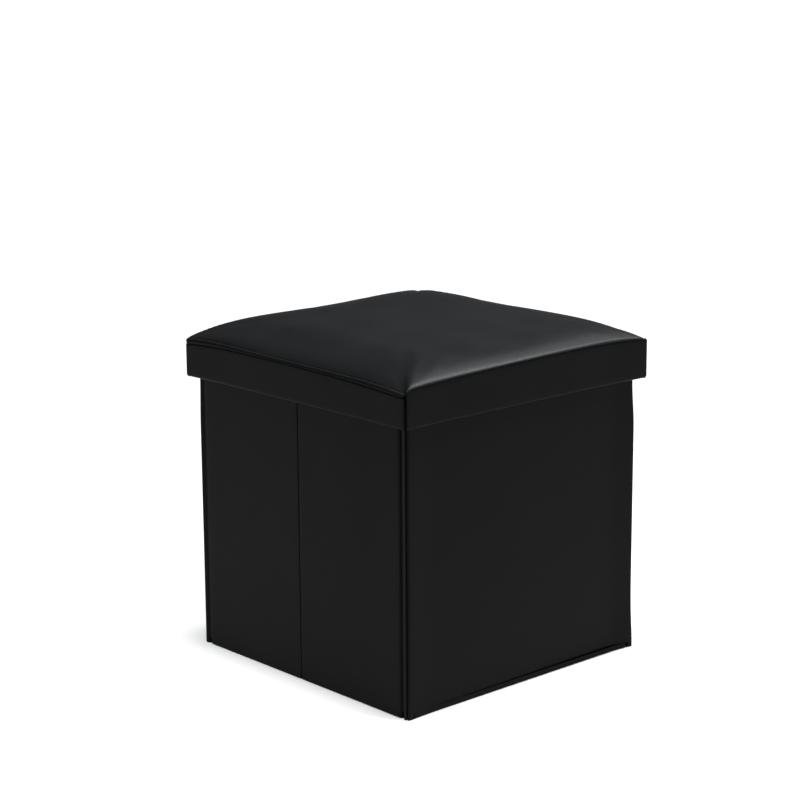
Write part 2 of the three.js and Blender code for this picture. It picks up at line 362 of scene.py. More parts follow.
def add_panel(name, wall, start, end, start_shape, end_shape, foot, top, foot_round, top_round,
              window, seed):
    """A wall's cover, or a firm solid where window is None.
    The window is the opening inside for the lining: (from, to, low, high)."""
    inner = []
    if window:
        inner = [(window[0], 0.0), (window[1], 0.0)]
    outer = [(s, WALL) for s in spread(end - 8, start + 8, FACE_STEP)] if end - start > 30 else []
    plan = inner + [(end - d, n) for d, n in end_shape] + outer
    plan += [(start + d, n) for d, n in reversed(start_shape)]
    levels = panel_levels(foot, top, foot_round, top_round, window[2:] if window else ())
    points = []
    for z, share in levels:
        for s, n in plan:
            edge = min(s - start, end - s, z - foot + 12, top - z + 4)
            wave = 0.0
            if n > WALL - 0.01 and edge > 0:
                calm = min(1.0, edge / 25)
                wave = calm * (0.30 * ripple(s, 0, z, 95, seed) + 0.10 * ripple(s, 0, z, 34, seed + 9))
                if wall in ("left", "right"):
                    wave = min(wave, 0.0) - SIDE_HOLLOW * calm
            to_corner = BODY_HALF - abs(s)
            near = tuple(int(v) for v in WALLS[wall][0] * math.copysign(1, s) + WALLS[wall][1])
            flare = WALL_FLARE[near] + FOOT_FLARE[near] * math.exp(-(z / 40) ** 2)
            tuck = min(1.0, max(0.0, (z - SKIRT_FOOT + 60) / 58))
            flare += (CORNER_FLARE - flare) * tuck ** 2 * (3 - 2 * tuck)
            flare *= math.exp(-(to_corner / 22) ** 2) * min(1.0, n / (WALL / 2)) * share
            if wall in ("left", "right"):
                flare = min(flare, SIDE_FLARE)
            beaded = (end_shape if s > 0 else start_shape) is BEADED
            shift = math.copysign(flare, s) if beaded and to_corner < 12 else 0.0
            points.append(on_wall(wall, s + shift, WALL / 2 + (n + wave - WALL / 2) * share + flare, z))
    columns = len(plan)
    faces = []
    for i, face in enumerate(grid_faces(len(levels), columns, closed=True)):
        row, column = divmod(i, columns)
        in_window = window and column == 0 and window[2] - 0.01 < levels[row][0] < window[3] - 0.01
        if not in_window:
            faces.append(face)
    faces.append(tuple(range(columns)))
    faces.append(tuple((len(levels) - 1) * columns + j for j in range(columns)))
    obj = add_mesh(name, points, faces)
    face_outward(obj)
    if window:
        turn_to(obj.data, (*WALLS[wall][1], 0))
        thicken(obj, COVER)
    return obj


def add_lining(name, wall, window, seed):
    """The cloth inside a wall, lying in its cover's window."""
    start, end, low, high = window
    clear = 0.25
    across = spread(start + clear, end - clear, 9)
    up = spread(low + clear, high - clear, 9)
    points = []
    for z in up:
        for s in across:
            edge = min(s - start, end - s, z - low, high - z)
            calm = min(1.0, edge / 14)
            wave = 0.10 * ripple(s, 0, z, 60, seed) + 0.05 * ripple(s, 0, z, 21, seed + 3)
            points.append(on_wall(wall, s, 0.22 + 0.12 * (1 - calm) + calm * wave, z))
    inward = (*(-WALLS[wall][1]), 0)
    obj = add_mesh(name, points, grid_faces(len(up), len(across)), inward)
    thicken(obj, LINING)
    return obj


def add_stitches(name, path, normals, closed=True, sink=0.1):
    """A row of stitches laid along a path of points, in millimetres, on a surface with those normals."""
    path = np.asarray(path, float)
    normals = np.asarray(normals, float)
    if closed:
        path = np.vstack((path, path[:1]))
        normals = np.vstack((normals, normals[:1]))
    steps = np.linalg.norm(np.diff(path, axis=0), axis=1)
    along = np.concatenate(([0.0], np.cumsum(steps)))
    count = max(1, int(along[-1] / STITCH_STEP))
    step = along[-1] / count
    points, faces = [], []
    sides = 6

    def sample(place, values):
        return np.array([np.interp(place, along, values[:, c]) for c in range(3)])

    shape = ((-0.5, 0.35, -0.3), (-0.36, 0.85, 0.0), (0.0, 1.0, 0.22), (0.36, 0.85, 0.0),
             (0.5, 0.35, -0.3))
    for k in range(count):
        first = len(points)
        middle = (k + 0.5) * step
        for share, girth, lift in shape:
            at = middle + share * STITCH
            centre = sample(at, path)
            up = sample(middle, normals)
            up /= np.linalg.norm(up)
            ahead = sample(at + 0.2, path) - sample(at - 0.2, path)
            ahead /= np.linalg.norm(ahead)
            across = np.cross(ahead, up)
            centre = centre + up * (lift * THREAD + sink)
            for j in range(sides):
                a = 2 * math.pi * j / sides
                offset = across * math.cos(a) * 1.15 + up * math.sin(a) * 0.8
                points.append(centre + offset * THREAD * girth)
        faces += [tuple(first + j for j in face) for face in grid_faces(len(shape), sides, closed=True)]
        faces.append(tuple(first + j for j in range(sides)))
        faces.append(tuple(first + (len(shape) - 1) * sides + j for j in range(sides)))
    obj = add_mesh(name, points, faces)
    face_outward(obj, merge=1e-9)
    return obj


def rectangle_path(wall, start, end, low, high, n, step=12, corner=3.0):
    """Points round a rectangle on a wall, with rounded corners."""
    points = []
    corners = ((end - corner, low + corner, -90), (end - corner, high - corner, 0),
               (start + corner, high - corner, 90), (start + corner, low + corner, 180))
    for cs, cz, angle in corners:
        for a in arc(angle, angle + 90, 5):
            points.append((cs + corner * math.cos(a), cz + corner * math.sin(a)))
    dense = []
    for (s0, z0), (s1, z1) in zip(points, points[1:] + points[:1]):
        parts = max(1, round(math.hypot(s1 - s0, z1 - z0) / step))
        dense += [(s0 + (s1 - s0) * i / parts, z0 + (z1 - z0) * i / parts) for i in range(parts)]
    return [on_wall(wall, s, n, z) for s, z in dense]


# ---- Materials --------------------------------------------------------------


class Finish:
    """A node material: small calls that add and join its nodes."""

    def __init__(self, name, roughness, specular, **constants):
        self.material = bpy.data.materials.new(name)
        self.material.use_nodes = True
        self.tree = self.material.node_tree
        self.shader = self.tree.nodes["Principled BSDF"]
        self.shader.inputs["Roughness"].default_value = roughness
        self.shader.inputs["Specular IOR Level"].default_value = specular
        for socket, value in constants.items():
            self.shader.inputs[socket.replace("_", " ")].default_value = value
        self.coordinates = self.add("ShaderNodeTexCoord").outputs["Object"]

    def add(self, kind, inputs=None, **settings):
        """A node with its settings, and its inputs joined or set."""
        node = self.tree.nodes.new(kind)
        for key, value in settings.items():
            setattr(node, key, value)
        for key, value in (inputs or {}).items():
            if isinstance(value, bpy.types.NodeSocket):
                self.tree.links.new(value, node.inputs[key])
            else:
                node.inputs[key].default_value = value
        return node

    def stretched(self, x, y, z):
        """The object's coordinates, scaled along each axis."""
        return self.add("ShaderNodeMapping", {"Vector": self.coordinates, "Scale": (x, y, z)}).outputs[0]

    def noise(self, size, detail=3.0, roughness=0.5, distortion=0.0, vector=None):
        """Noise with features of that size in millimetres."""
        node = self.add("ShaderNodeTexNoise", {
            "Vector": vector or self.coordinates, "Scale": 1 / (size * MM), "Detail": detail,
            "Roughness": roughness, "Distortion": distortion})
        return node.outputs["Fac"]

    def cells(self, size, feature="F1", randomness=1.0, vector=None):
        """Distance to cells of that size in millimetres."""
        node = self.add("ShaderNodeTexVoronoi", {
            "Vector": vector or self.coordinates, "Scale": 1 / (size * MM), "Randomness": randomness},
            feature=feature)
        return node.outputs["Distance"]

    def maths(self, operation, a, b, clamp=False):
        """Two values put through a maths node."""
        node = self.add("ShaderNodeMath", {0: a, 1: b}, operation=operation)
        node.use_clamp = clamp
        return node.outputs[0]

    def levels(self, value, low, high, to_low=0.0, to_high=1.0):
        """A value stretched from low..high to another range, and held inside it."""
        node = self.add("ShaderNodeMapRange", {
            "Value": value, "From Min": low, "From Max": high, "To Min": to_low, "To Max": to_high})
        return node.outputs[0]

    def blend(self, factor, a, b):
        """A mix of two colours."""
        node = self.add("ShaderNodeMix", data_type="RGBA")
        for key, value in ((0, factor), (6, a), (7, b)):
            if isinstance(value, bpy.types.NodeSocket):
                self.tree.links.new(value, node.inputs[key])
            else:
                node.inputs[key].default_value = value
        return node.outputs[2]

    def bump(self, height, distance, strength=1.0, under=None):
        """A bump of that height in millimetres, over another one."""
        inputs = {"Height": height, "Distance": distance * MM, "Strength": strength}
        if under is not None:
            inputs["Normal"] = under
        return self.add("ShaderNodeBump", inputs).outputs[0]

    def wave(self, scale, distortion, direction):
        """Bands across one of the object's axes."""
        node = self.add("ShaderNodeTexWave", {
            "Vector": self.coordinates, "Scale": scale, "Distortion": distortion, "Detail": 1.0},
            wave_type="BANDS", bands_direction=direction)
        return node.outputs["Fac"]

    def connect(self, **sockets):
        """Joins values to the shader's sockets and returns the finished material."""
        for socket, value in sockets.items():
            self.tree.links.new(value, self.shader.inputs[socket.replace("_", " ")])
        return self.material


def grey(value):
    """A neutral colour."""
    return (value, value, value, 1.0)


def faux_leather():
    """Smooth black faux leather: a fine closed grain, faint creasing, worn a little along its edges."""
    m = Finish("faux_leather", 0.42, 0.046)
    drift = m.add("ShaderNodeTexNoise", {"Vector": m.coordinates, "Scale": 700.0, "Detail": 1.0})
    drift = m.add("ShaderNodeVectorMath", {0: drift.outputs["Color"], 3: 0.0006}, operation="SCALE")
    warped = m.add("ShaderNodeVectorMath", {0: m.coordinates, 1: drift.outputs[0]}, operation="ADD")
    warped = warped.outputs[0]
    pebble = m.cells(0.85, "SMOOTH_F1", vector=warped)
    valley = m.cells(1.5, "DISTANCE_TO_EDGE", vector=warped)
    pores = m.noise(0.30, 2.0)
    grain = m.maths("ADD", m.maths("MULTIPLY", pebble, -0.6), m.maths("MULTIPLY", valley, 0.7))
    grain = m.maths("ADD", grain, m.maths("MULTIPLY", pores, 0.25))
    crease = m.noise(26.0, 4.0, 0.55, 0.6)
    pull = m.noise(120.0, 2.0, 0.5)
    normal = m.bump(pull, 0.9, 0.30)
    normal = m.bump(crease, 0.22, 0.35, normal)
    normal = m.bump(grain, 0.11, 0.50, normal)
    patch = m.levels(m.noise(70.0, 3.0), 0.35, 0.65)
    speck = m.levels(m.noise(2.2, 3.0), 0.30, 0.72)
    worn = m.levels(m.add("ShaderNodeNewGeometry").outputs["Pointiness"], 0.52, 0.62)
    worn = m.maths("MULTIPLY", worn, m.levels(m.noise(9.0, 4.0), 0.35, 0.75), clamp=True)
    colour = m.blend(patch, (0.0034, 0.0034, 0.0035, 1), (0.0046, 0.0046, 0.0047, 1))
    colour = m.blend(m.maths("MULTIPLY", speck, 0.35), colour, (0.0066, 0.0066, 0.0067, 1))
    colour = m.blend(worn, colour, (0.0085, 0.0083, 0.0083, 1))
    rough = m.levels(m.maths("ADD", m.maths("MULTIPLY", patch, 0.6), m.maths("MULTIPLY", speck, 0.4)),
                     0.0, 1.0, 0.40, 0.49)
    return m.connect(Base_Color=colour, Roughness=rough, Normal=normal)


def lining_cloth():
    """Black spun-bonded lining: embossed dots in rows and short matted fibres."""
    m = Finish("lining_cloth", 0.85, 0.25, Sheen_Weight=0.12, Sheen_Roughness=0.6)
    dots = m.levels(m.cells(2.4, "F1", 0.0), 0.12, 0.42)
    fibre_a = m.noise(1.0, 3.0, 0.6, 1.2, m.stretched(1.0, 1.0, 0.25))
    fibre_b = m.noise(0.8, 3.0, 0.6, 1.2, m.stretched(0.3, 0.3, 1.0))
    fibre = m.maths("MAXIMUM", fibre_a, fibre_b)
    cockle = m.noise(45.0, 2.0)
    normal = m.bump(cockle, 1.0, 0.35)
    normal = m.bump(fibre, 0.10, 0.6, normal)
    normal = m.bump(dots, 0.22, 0.8, normal)
    colour = m.blend(m.levels(fibre, 0.45, 0.72), grey(0.008), grey(0.022))
    colour = m.blend(m.levels(dots, 0.0, 1.0, 0.55, 0.0), colour, grey(0.0055))
    rough = m.levels(fibre, 0.4, 0.7, 0.78, 0.92)
    return m.connect(Base_Color=colour, Roughness=rough, Normal=normal)


def fibreboard():
    """Pressed fibreboard: matted brown fibres with pale flecks."""
    m = Finish("fibreboard", 0.75, 0.35)
    fibre = m.noise(2.2, 6.0, 0.65, 1.5, m.stretched(1.0, 1.0, 0.5))
    fleck = m.levels(m.noise(0.9, 3.0, 0.6), 0.60, 0.74)
    cloud = m.levels(m.noise(60.0, 3.0), 0.3, 0.7)
    colour = m.blend(m.levels(fibre, 0.35, 0.68), (0.165, 0.094, 0.047, 1), (0.330, 0.215, 0.120, 1))
    colour = m.blend(m.maths("MULTIPLY", cloud, 0.35), colour, (0.215, 0.140, 0.082, 1))
    colour = m.blend(m.maths("MULTIPLY", fleck, 0.6), colour, (0.470, 0.350, 0.225, 1))
    normal = m.bump(fibre, 0.12, 0.6)
    normal = m.bump(fleck, 0.05, 0.5, normal)
    rough = m.levels(fibre, 0.3, 0.7, 0.68, 0.84)
    return m.connect(Base_Color=colour, Roughness=rough, Normal=normal)


def padding_foam():
    """Pale open-cell foam with fine pores; the hollows between its cells are painted darker as shade."""
    m = Finish("padding_foam", 0.9, 0.2, Subsurface_Weight=0.05)
    pores = m.cells(0.9, "DISTANCE_TO_EDGE")
    cloud = m.noise(50.0, 3.0)
    # The hollows between the cells are painted a darker yellow: painted shade where the pore bump sinks.
    colour = m.blend(m.levels(pores, 0.0, 0.25), (0.45, 0.38, 0.23, 1), (0.74, 0.68, 0.50, 1))
    colour = m.blend(m.levels(cloud, 0.35, 0.7, 0.0, 0.35), colour, (0.62, 0.54, 0.36, 1))
    normal = m.bump(m.levels(pores, 0.0, 0.3), 0.3, 0.7)
    rough = m.levels(pores, 0.0, 0.3, 0.96, 0.86)
    return m.connect(Base_Color=colour, Roughness=rough, Normal=normal)


def ribbon():
    """Black woven tape: ribs across it and fine warp threads along it."""
    m = Finish("ribbon", 0.6, 0.3, Sheen_Weight=0.2, Sheen_Roughness=0.4)
    weft = m.wave(160.0, 0.4, "Y")
    warp = m.wave(260.0, 0.3, "X")
    weave = m.maths("ADD", m.maths("MULTIPLY", weft, 0.7), m.maths("MULTIPLY", warp, 0.3))
    colour = m.blend(weave, grey(0.010), grey(0.034))
    colour = m.blend(m.levels(m.noise(6.0, 3.0), 0.3, 0.7, 0.0, 0.3), colour, grey(0.016))
    rough = m.levels(weave, 0.0, 1.0, 0.68, 0.5)
    return m.connect(Base_Color=colour, Roughness=rough, Normal=m.bump(weave, 0.14, 0.8))


def thread():
    """Black sewing thread with a twist and a slight lustre."""
    m = Finish("thread", 0.5, 0.2, Sheen_Weight=0.08, Sheen_Roughness=0.3)
    twist = m.wave(420.0, 1.0, "DIAGONAL")
    colour = m.blend(twist, grey(0.010), grey(0.030))
    colour = m.blend(m.levels(m.noise(5.0, 2.0), 0.3, 0.7, 0.0, 0.4), colour, grey(0.020))
    rough = m.levels(twist, 0.0, 1.0, 0.58, 0.44)
    return m.connect(Base_Color=colour, Roughness=rough, Normal=m.bump(twist, 0.06, 0.6))


LEATHER = faux_leather()
CLOTH = lining_cloth()
BOARD = fibreboard()
FOAM = padding_foam()
TAPE = ribbon()
SEWN = thread()

# ---- The walls --------------------------------------------------------------


def wall_set(title, wall, body, start, end, start_shape, end_shape, foot, foot_round, seed, replaced):
    """A wall's cover, its lining and the topstitching round it."""
    inset_start = BORDER - 2 if start_shape is BEADED else BORDER - 4
    inset_end = BORDER - 2 if end_shape is BEADED else BORDER - 4
    window = (start + inset_start, end - inset_end, foot + FOOT_BORDER, WALL_TOP - BORDER)
    cover = add_panel(f"{title}_faux_leather", wall, start, end, start_shape, end_shape, foot, WALL_TOP,
                      foot_round, TOP_ROUND, window, seed)
    finish_piece(cover, LEATHER, body, "faux_leather", replaced + "_cover")
    lining = add_lining(f"{title}_lining_cloth", wall, window, seed)
    finish_piece(lining, CLOTH, body, "lining_cloth", replaced + "_lining")
    path = rectangle_path(wall, window[0] - 3, window[1] + 3, window[2] - 3, window[3] + 3, 0.0)
    normals = [(*(-WALLS[wall][1]), 0)] * len(path)
    finish_piece(add_stitches(f"{title}_topstitching", path, normals), SEWN, body, "faux_leather")


BEADED = bead_end()
ROUNDED = plain_end(1.0, FACE_ROUND)
CREASED = plain_end(CREASE_ROUND, CREASE_ROUND)
SQUARE = plain_end(0.3, 0.3)

wall_set("back_wall", "back", "back_wall", -BODY_HALF, BODY_HALF, BEADED, BEADED, 0.0, FOOT_ROUND, 1,
         "back_wall")
wall_set("front_wall", "front", "front_wall", -BODY_HALF, BODY_HALF, BEADED, BEADED, PANEL_FOOT, 0.0, 2,
         "front_wall")
for seed, side in ((3, "left"), (5, "right")):
    wall_set(f"{side}_rear_wall", side, f"{side}_rear_wall", CREASE_HALF, SIDE_END, CREASED, ROUNDED,
             PANEL_FOOT, 0.0, seed, f"{side}_rear_wall")
    wall_set(f"{side}_front_wall", side, f"{side}_front_wall", -SIDE_END, -CREASE_HALF, ROUNDED, CREASED,
             PANEL_FOOT, 0.0, seed + 1, f"{side}_front_wall")

# ---- Hems and front feet at the floor ---------------------------------------


def add_hem(name, wall, body, start, end, start_shape, end_shape, seed, replaced):
    """The soft lower edge of a wall, which lifts off the bottom flap as the walls fold."""
    hem = add_panel(name, wall, start, end, start_shape, end_shape, HEM_FOOT, HEM_TOP, FOOT_ROUND, 0.0,
                    None, seed)
    finish_piece(hem, LEATHER, body, "faux_leather", replaced)
    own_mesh(hem)


add_hem("front_wall_hem_edge", "front", "front_wall", -FOOT_INNER + SEAM_GAP, FOOT_INNER - SEAM_GAP,
        SQUARE, SQUARE, 2, "front_wall_hem")
for seed, side in ((3, "left"), (5, "right")):
    add_hem(f"{side}_rear_hem_edge", side, f"{side}_rear_wall", CREASE_HALF, SIDE_END, CREASED, ROUNDED,
            seed, f"{side}_rear_wall_hem")
    add_hem(f"{side}_front_hem_edge", side, f"{side}_front_wall", -SIDE_END, -CREASE_HALF,
            ROUNDED, CREASED, seed + 1, f"{side}_front_wall_hem")
for title, start, end, shapes in (("front_left", -BODY_HALF, -FOOT_INNER, (BEADED, SQUARE)),
                                  ("front_right", FOOT_INNER, BODY_HALF, (SQUARE, BEADED))):
    tip = add_panel(f"{title}_foot_edge", "front", start, end, *shapes, 0.0, HEM_TOP, FOOT_ROUND, 0.0,
                    None, 2)
    finish_piece(tip, LEATHER, "front_wall", "faux_leather", f"{title}_foot")

# ---- Strips at the hinges ---------------------------------------------------


def add_strip(name, across, up, replaced, thickness=0.8, material=LEATHER,
              slot="faux_leather"):
    """A narrow web of sheet between two bodies: points across it, swept over heights."""
    points = [(x, y, z) for z in up for x, y in across]
    obj = add_mesh(name, points, grid_faces(len(up), len(across)), (across[0][0], across[0][1], 0))
    thicken(obj, thickness)
    finish_piece(obj, material, None, slot, replaced, angle=80)
    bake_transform(obj)


strip_heights = spread(PANEL_FOOT, WALL_TOP - 1.5, 25)
corner_bodies = {
    ("rear", "left"): ("back_wall", "left_rear_wall"),
    ("rear", "right"): ("back_wall", "right_rear_wall"),
    ("front", "left"): ("front_wall", "left_front_wall"),
    ("front", "right"): ("front_wall", "front_right_corner"),
}
for (end, side), bodies in corner_bodies.items():
    sign_x = -1 if side == "left" else 1
    sign_y = 1 if end == "rear" else -1
    wall_edge, panel_edge = WALL_INNER - 0.1, SIDE_END + 0.15
    ys = [wall_edge + 0.5] + spread(wall_edge, panel_edge, 0.12) + [panel_edge - 0.5]
    depth = GROOVE_BOTTOM + (1.1 if end == "front" else 1.8)
    add_strip(f"{end}_{side}_corner_web", [(sign_x * depth, sign_y * y) for y in ys], strip_heights,
              f"{end}_{side}_corner_strip")
for side in ("left", "right"):
    sign_x = -1 if side == "left" else 1
    ys = [0.95] + spread(0.7, -0.7, 0.1) + [-0.95]
    add_strip(f"{side}_crease_web", [(sign_x * (CREASE_DEPTH - 0.15), y) for y in ys], strip_heights,
              f"{side}_crease_strip")

# ---- The bottom flap, its strip and its tab ---------------------------------


def add_flap():
    """The bottom's cloth sleeve: a soft flat case with rolled edges, quilted a little by its stitches."""
    half, front, back = sleeve_high[0], sleeve_low[1], sleeve_high[1]
    roll = FLAP_TOP / 2
    xs = [-half + roll - roll * math.cos(a) for a in arc(0, 90, 6)]
    xs += spread(-half + roll, half - roll, 9)[1:-1] + [-x for x in reversed(xs)]
    ys = [front + roll - roll * math.cos(a) for a in arc(0, 90, 6)]
    ys += spread(front + roll, back - roll, 9)[1:-1] + [front + back - y for y in reversed(ys)]
    points, faces = [], []
    for top in (True, False):
        first = len(points)
        for y in ys:
            for x in xs:
                edge_x, edge_y = half - abs(x), min(y - front, back - y)
                drop = [roll - math.sqrt(max(0.0, roll ** 2 - (roll - min(e, roll)) ** 2))
                        for e in (edge_x, edge_y)]
                height = max(0.0, roll - math.hypot(*drop))
                rim = min(edge_x, edge_y)
                calm = min(1.0, rim / 20)
                if top:
                    height += calm * (0.22 * ripple(x, y, 0, 55, 11) - 0.25)
                    height -= 0.35 * math.exp(-((rim - SLEEVE_INSET) / 1.2) ** 2)
                    points.append((x, y, roll + height))
                else:
                    points.append((x, y, roll - height * 0.98))
        quads = grid_faces(len(ys), len(xs))
        faces += [tuple(first + k for k in (face if top else face[::-1])) for face in quads]
    sleeve = add_mesh("bottom_flap_sleeve", points, faces)
    face_outward(sleeve, merge=2e-5)
    finish_piece(sleeve, CLOTH, "bottom_flap", "lining_cloth", "bottom_sleeve")
    left, right = -half + SLEEVE_INSET, half - SLEEVE_INSET
    low, high = front + SLEEVE_INSET, back - SLEEVE_INSET
    corners = [(right, low), (right, high), (left, high), (left, low)]
    path = [(x, y, FLAP_TOP - 0.45) for x, y in box_path(corners, 28)]
    stitches = add_stitches("bottom_flap_topstitching", path, [(0, 0, 1)] * len(path))
    finish_piece(stitches, SEWN, "bottom_flap", "lining_cloth")


def add_tab():
    """The folded ribbon that lifts the bottom flap."""
    half = (tab_high[0] - tab_low[0]) / 2
    front, back, low = tab_low[1], tab_high[1], tab_low[2]
    bend, bottom = 0.26, low + 0.24
    line = [(y, bottom) for y in spread(back, front + bend, 2.0)]
    line += [(front + bend - bend * math.sin(a), bottom + bend * (1 - math.cos(a)))
             for a in arc(0, 180, 8)[1:]]
    line += [(y, bottom + 2 * bend + 0.10 * math.sin((y - front) / (back - front) * math.pi))
             for y in spread(front + bend, back - 1.5, 2.0)[1:]]
    xs = spread(-half, half, 1.6)
    points = [(x, y, z + 0.02 * ripple(x, y, 0, 7, 4)) for y, z in line for x in xs]
    tab = add_mesh("flap_pull_tab", points, grid_faces(len(line), len(xs)), (0, 0, 1))
    thicken(tab, 0.24)
    finish_piece(tab, TAPE, "bottom_flap", "ribbon", "pull_tab", angle=60)
    y0, y1, edge = back - 12, back - 3, half - 2.2
    crossed_box = [(-edge, y0), (edge, y0), (edge, y1), (-edge, y1), (-edge, y0), (edge, y1), (edge, y0),
                   (-edge, y1)]
    path = [(x, y, bottom + 2 * bend + 0.05) for x, y in box_path(crossed_box, 6, closed=False)]
    stitches = add_stitches("pull_tab_stitching", path, [(0, 0, 1)] * len(path), closed=False)
    finish_piece(stitches, SEWN, "bottom_flap", "ribbon")


add_flap()
add_tab()
web_half = flap_strip_high[0]
web_back, web_front = WALL_INNER - 0.1, sleeve_high[1] + 0.1
web_ys = [web_back + 0.4] + spread(web_back, web_front, 0.12) + [web_front - 0.5]
web_xs = spread(-web_half, web_half, 14)
web_points = [(x, y, flap_strip_high[2] - 0.1) for x in web_xs for y in web_ys]
web = add_mesh("flap_hinge_web", web_points, grid_faces(len(web_xs), len(web_ys)), (0, 0, 1))
thicken(web, 0.6)
finish_piece(web, CLOTH, None, "lining_cloth", "flap_hinge_strip", angle=80)
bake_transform(web)

# ---- The lid's skirt --------------------------------------------------------


def seam_height(side, s):
    """Height of the top seam at s along that side of the lid."""
    start, top, middle, end, start_power, end_power = SEAMS[side]
    s = max(-LID_HALF, min(LID_HALF, s))
    if s < middle:
        return top - (top - start) * ((middle - s) / (LID_HALF + middle)) ** start_power
    return top - (top - end) * ((s - middle) / (LID_HALF - middle)) ** end_power


def smooth_max(a, b, power=4):
    """The larger of two lengths, rounded where they are alike."""
    return (a ** power + b ** power) ** (1 / power)


def add_skirt(side, seed):
    """One side of the lid's skirt: a lip inside, a rolled lower rim, the face, and turned-in seams."""
    rest = GROOVE_ROUND * (1 + math.sqrt(2)) + GROOVE_GAP
    ends = [(6.6, 6.55), (5.6, 5.4), (5.0, 4.5), (4.2, 4.2 - GROOVE_GAP)]
    ends += [(rest - GROOVE_ROUND * math.cos(a), GROOVE_ROUND * (1 - math.sin(a)))
             for a in arc(-45, 90, 12)]
    stations = [(-(LID_HALF - p), d) for p, d in ends]
    stations += [(s, 0.0) for s in spread(-LID_HALF + rest + 2, LID_HALF - rest - 2, 7)]
    stations += [(LID_HALF - p, d) for p, d in reversed(ends)]
    # Each row of the profile: its depth, its height above the foot, its share of the face's height.
    profile = [(depth, 0.0, 0.0) for depth in (LIP_DEPTH, 6.0, 4.0, 3.0)]
    profile += [(RIM_ROUND * (1 - math.sin(a)), RIM_ROUND * (1 - math.cos(a)), 0.0)
                for a in arc(0, 90, 8)[1:]]
    profile += [(0.0, RIM_ROUND, share) for share in np.linspace(0, 1, 9)[1:]]
    profile += [(SEAM_ROUND * (1 - math.cos(a)), RIM_ROUND + SEAM_ROUND * math.sin(a), 1.0)
                for a in arc(0, 90, 7)[1:]]
    profile += [(2.9, RIM_ROUND + SEAM_ROUND, 1.0)]
    points = []
    for depth, rise, share in profile:
        for s, turn in stations:
            seam = seam_height(side, s)
            to_corner = LID_HALF - abs(s)
            lift = CORNER_LIFT * max(0.0, 1 - to_corner / 6) ** 2 * (1 - share)
            face = seam - 0.15 - SEAM_ROUND - SKIRT_FOOT - RIM_ROUND
            z = SKIRT_FOOT + rise + face * share
            inside = smooth_max(turn, depth)
            across = max(to_corner, inside + SEAM_GAP)
            at = math.copysign(LID_HALF - across, s)
            height = min(1.0, max(0.0, (z - SKIRT_FOOT) / (seam - SKIRT_FOOT)))
            calm = min(1.0, to_corner / 30) * math.sin(math.pi * height) ** 0.6
            wave = calm * (0.28 * ripple(s, 0, z, 70, seed) + 0.10 * ripple(s, 0, z * 1.5, 24, seed + 5))
            near = WALLS[side][0] * math.copysign(1, s) + WALLS[side][1]
            flare = SKIRT_FLARE[tuple(int(v) for v in near)] * math.exp(-(to_corner / FLARE_REACH) ** 2)
            slide = math.copysign(flare * math.exp(-(to_corner / 9) ** 2), s)
            points.append(on_lid(side, at + slide, inside - wave - flare, z + lift))
    obj = add_mesh(f"lid_{side}_skirt", points, grid_faces(len(profile), len(stations)),
                   (*WALLS[side][1], 0))
    thicken(obj, COVER)
    node = "rear" if side == "back" else side
    finish_piece(obj, LEATHER, "lid", "faux_leather", f"lid_{node}_skirt_cover")


for seed, side in enumerate(("front", "right", "back", "left")):
    add_skirt(side, 20 + seed)


def add_gusset(end, side):
    """The rolled strip that closes a corner of the skirt behind its groove."""
    centre = LID_HALF - GUSSET_DEPTH
    x, y = (-centre if side == "left" else centre), (-centre if end == "front" else centre)
    levels = [(SKIRT_FOOT + 1.2, 0.6), (SKIRT_FOOT + 1.9, 1.0)]
    levels += [(z, 1.0) for z in spread(SKIRT_FOOT + 12, CROWN_BASE - 10, 10)] + [(CROWN_BASE - 2.5, 1.0)]
    ring = arc(0, 345, 24)
    points = [(x + GUSSET_RADIUS * share * math.cos(a), y + GUSSET_RADIUS * share * math.sin(a), z)
              for z, share in levels for a in ring]
    count = len(ring)
    faces = grid_faces(len(levels), count, closed=True)
    faces += [tuple(range(count))[::-1], tuple(range(len(points) - count, len(points)))]
    obj = add_mesh(f"lid_{end}_{side}_corner_gusset", points, faces)
    finish_piece(obj, LEATHER, "lid", "faux_leather", angle=50)


for end in ("front", "rear"):
    for side in ("left", "right"):
        add_gusset(end, side)

# ---- The lid's padded top ---------------------------------------------------


def crown_share(u):
    """Height of the crown's profile, from 1 in the middle to 0 at its edge."""
    return max(0.0, 1 - abs(u) ** CROWN_FLATNESS) ** (1 / CROWN_SHOULDER)


def edge_height(x, y):
    """Height of the top seam nearest to a point, blended from side to side near the corners."""
    sides = (("front", CROWN_HALF + y, x), ("back", CROWN_HALF - y, x),
             ("left", CROWN_HALF + x, y), ("right", CROWN_HALF - x, y))
    nearest = min(d for _, d, _ in sides)
    total = weight = 0.0
    for side, distance, s in sides:
        share = math.exp(-(distance - nearest) / 2.5)
        total += share * seam_height(side, s)
        weight += share
    return total / weight


def crown_height(x, y, half=CROWN_HALF):
    """Height of the padded top over a point."""
    edge = max(0.0, half - max(abs(x), abs(y)))
    base = CROWN_BASE + (edge_height(x, y) - CROWN_BASE) * math.exp(-(edge / CROWN_EDGE) ** 2)
    fuller = 1 - (0.36 + 0.10 * (y - x) / half + 0.07 * max(0.0, x + y) / half) * (x * y / half ** 2) ** 2
    from_far_corner = math.hypot(half - x, half - y)
    fill = FAR_CORNER_FILL * math.exp(-((from_far_corner - 9) / 8) ** 2) * min(1.0, edge / 3)
    return base + CROWN_RISE * (crown_share(x / half) * crown_share(y / half)) ** fuller + fill


def crown_lines():
    """Coordinates of the crown's grid lines, closer together towards its edge."""
    offsets = [0.0, 0.3, 0.75, 1.4, 2.2, 3.3, 4.8, 6.8, 9.2, 12.0, 15.2, 18.8, 22.8, 27.2, 32.0, 37.0]
    outer = [CROWN_HALF - o for o in offsets]
    inner = spread(-outer[-1], outer[-1], 5.2)[1:-1]
    return [-o for o in outer] + inner + outer[::-1]


